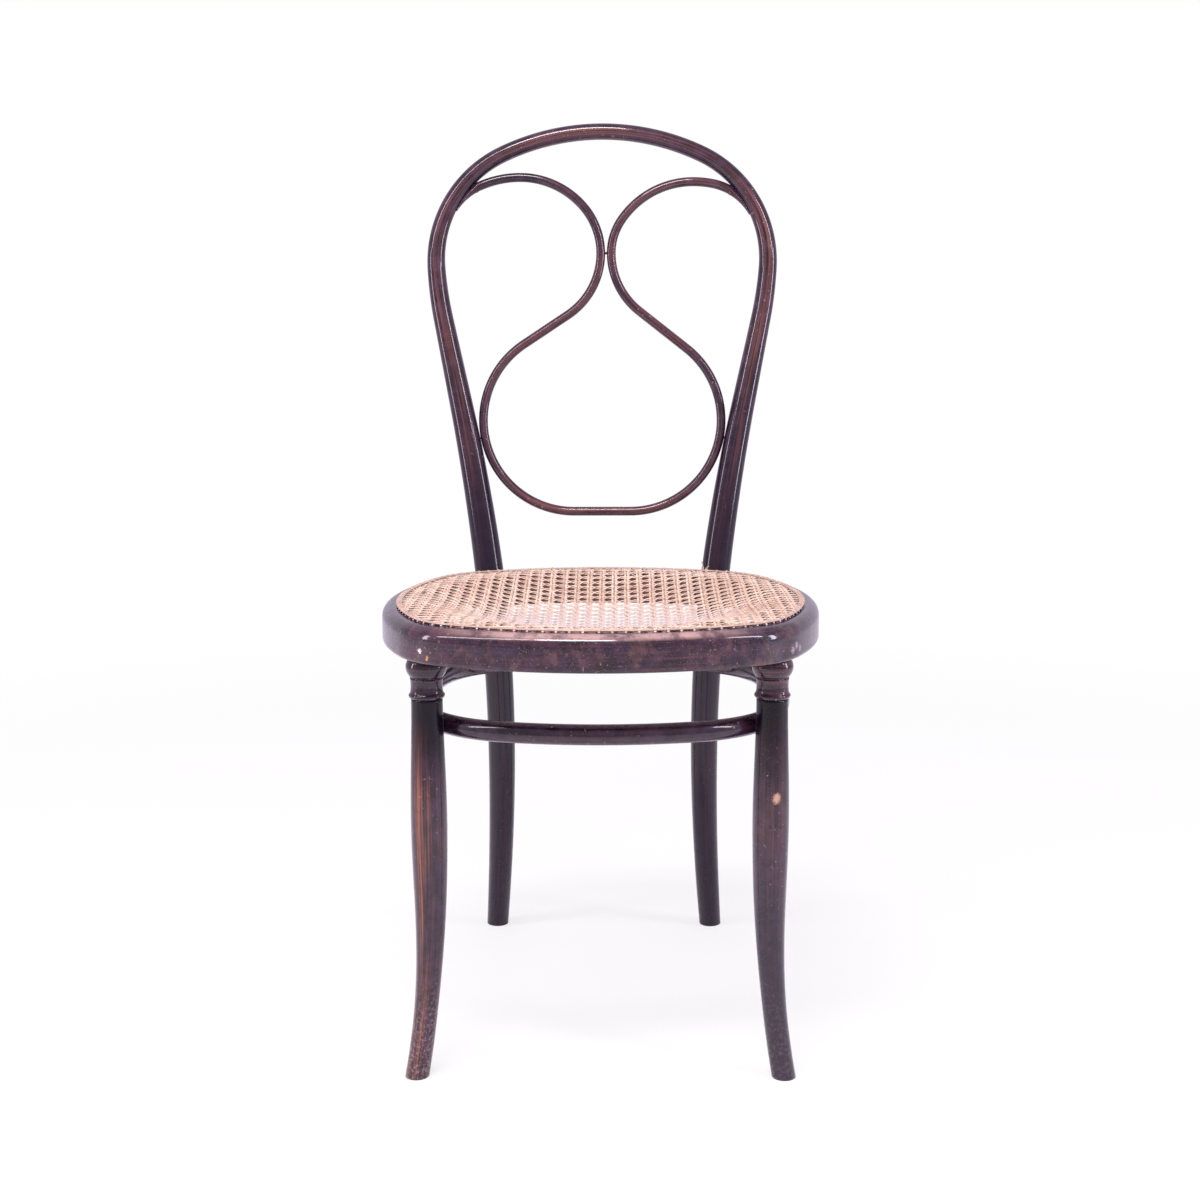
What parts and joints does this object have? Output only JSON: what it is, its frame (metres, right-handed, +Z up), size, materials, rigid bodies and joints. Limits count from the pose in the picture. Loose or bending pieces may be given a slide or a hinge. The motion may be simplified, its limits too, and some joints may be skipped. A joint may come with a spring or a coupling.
{
  "type": "bentwood chair",
  "caption": "Bentwood side chair: a hooped back with an inner rod bent into curls, a round caned seat, turned front legs and a ring that braces the legs.",
  "frame": {"origin": "on the floor, under the middle of the chair's extent in width and depth", "axes": "+Z up, +X to the right of the picture as seen from the front, +Y towards the back; the chair faces -Y"},
  "size_m": [0.4338, 0.5142, 0.9314],
  "materials": {
    "stained_wood": "dark aubergine-brown shellac, glossy, worn to brown along the edges",
    "cane": "split rattan, satin, aged to a pinkish tan",
    "steel": "old dark steel, tarnished"
  },
  "bodies": {
    "root": {"back_hoop": "stained_wood", "back_loop": "stained_wood", "cane_binder": "cane", "cane_panel": "cane", "cane_pegs": "cane", "capital_left": "stained_wood", "capital_right": "stained_wood", "curl_pin": "steel", "front_leg_left": "stained_wood", "front_leg_right": "stained_wood", "leg_ring": "stained_wood", "leg_ring_screw_front_left": "steel", "leg_ring_screw_front_right": "steel", "leg_ring_screw_rear_left": "steel", "leg_ring_screw_rear_right": "steel", "loop_bow_screw_left": "steel", "loop_bow_screw_right": "steel", "loop_end_screw_left": "steel", "loop_end_screw_right": "steel", "seat_bolt_left": "steel", "seat_bolt_right": "steel", "seat_nut_left": "steel", "seat_nut_right": "steel", "seat_ring": "stained_wood", "seat_washer_left": "steel", "seat_washer_right": "steel"}
  },
  "joints": []
}
